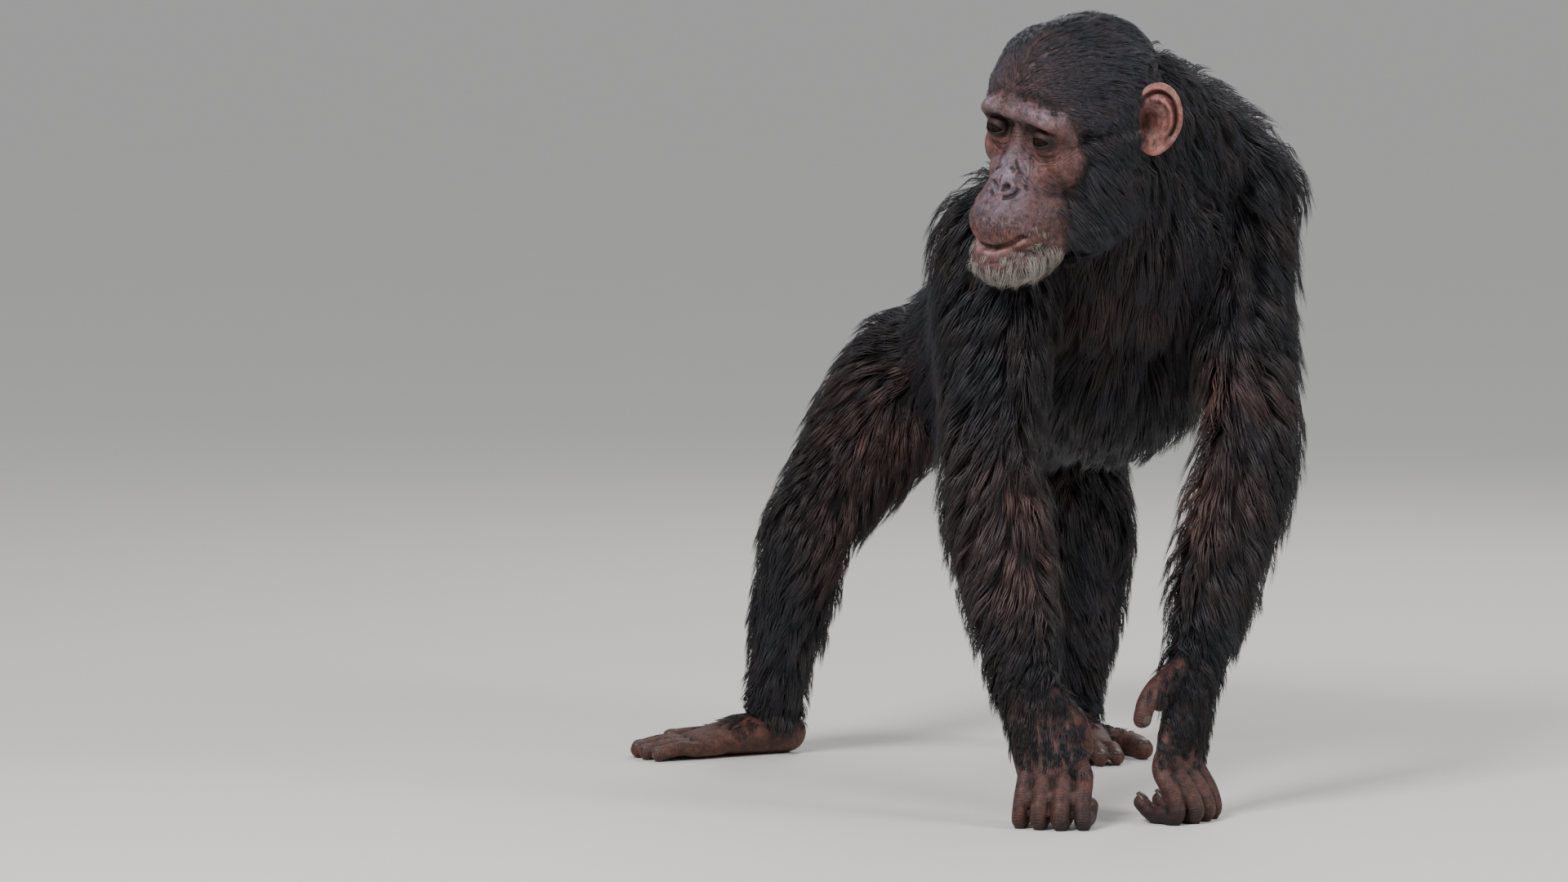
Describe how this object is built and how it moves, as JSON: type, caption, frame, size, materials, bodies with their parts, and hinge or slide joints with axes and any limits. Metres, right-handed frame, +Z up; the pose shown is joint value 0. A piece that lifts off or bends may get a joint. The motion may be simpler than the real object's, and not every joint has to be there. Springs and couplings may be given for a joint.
{
  "type": "chimpanzee",
  "caption": "Life-size still model of a young chimpanzee on all fours, standing on its knuckles and soles with its head turned to its right.",
  "frame": {"origin": "on the floor, under the middle of the model's bounding box", "axes": "+Z up, the animal faces -Y and its left side is towards +X"},
  "size_m": [0.6337, 0.7689, 0.7443],
  "materials": {
    "head": "bare brown face, black hair on the crown and cheeks",
    "neck": "black, coarse hair with a soft sheen",
    "chest": "black, coarse hair with a soft sheen",
    "belly": "black, coarse hair with a soft sheen",
    "pelvis": "black, coarse hair with a soft sheen",
    "ear_left": "soft, pinkish-brown skin",
    "ear_right": "soft, pinkish-brown skin",
    "eye_left": "wet, dark brown",
    "eye_right": "wet, dark brown",
    "upper_arm_left": "black, coarse hair with a soft sheen",
    "upper_arm_right": "black, coarse hair with a soft sheen",
    "forearm_left": "black, coarse hair with a soft sheen",
    "forearm_right": "black, coarse hair with a soft sheen",
    "hand_left": "creased, brownish-pink skin",
    "hand_right": "creased, brownish-pink skin",
    "thigh_left": "black, coarse hair with a soft sheen",
    "thigh_right": "black, coarse hair with a soft sheen",
    "shank_left": "black, coarse hair with a soft sheen",
    "shank_right": "black, coarse hair with a soft sheen",
    "foot_left": "creased, brownish-pink skin",
    "foot_right": "creased, brownish-pink skin"
  },
  "bodies": {
    "root": {"head": "head", "neck": "neck", "chest": "chest", "belly": "belly", "pelvis": "pelvis", "ear_left": "ear_left", "ear_right": "ear_right", "eye_left": "eye_left", "eye_right": "eye_right", "upper_arm_left": "upper_arm_left", "upper_arm_right": "upper_arm_right", "forearm_left": "forearm_left", "forearm_right": "forearm_right", "hand_left": "hand_left", "hand_right": "hand_right", "thigh_left": "thigh_left", "thigh_right": "thigh_right", "shank_left": "shank_left", "shank_right": "shank_right", "foot_left": "foot_left", "foot_right": "foot_right"}
  },
  "joints": []
}
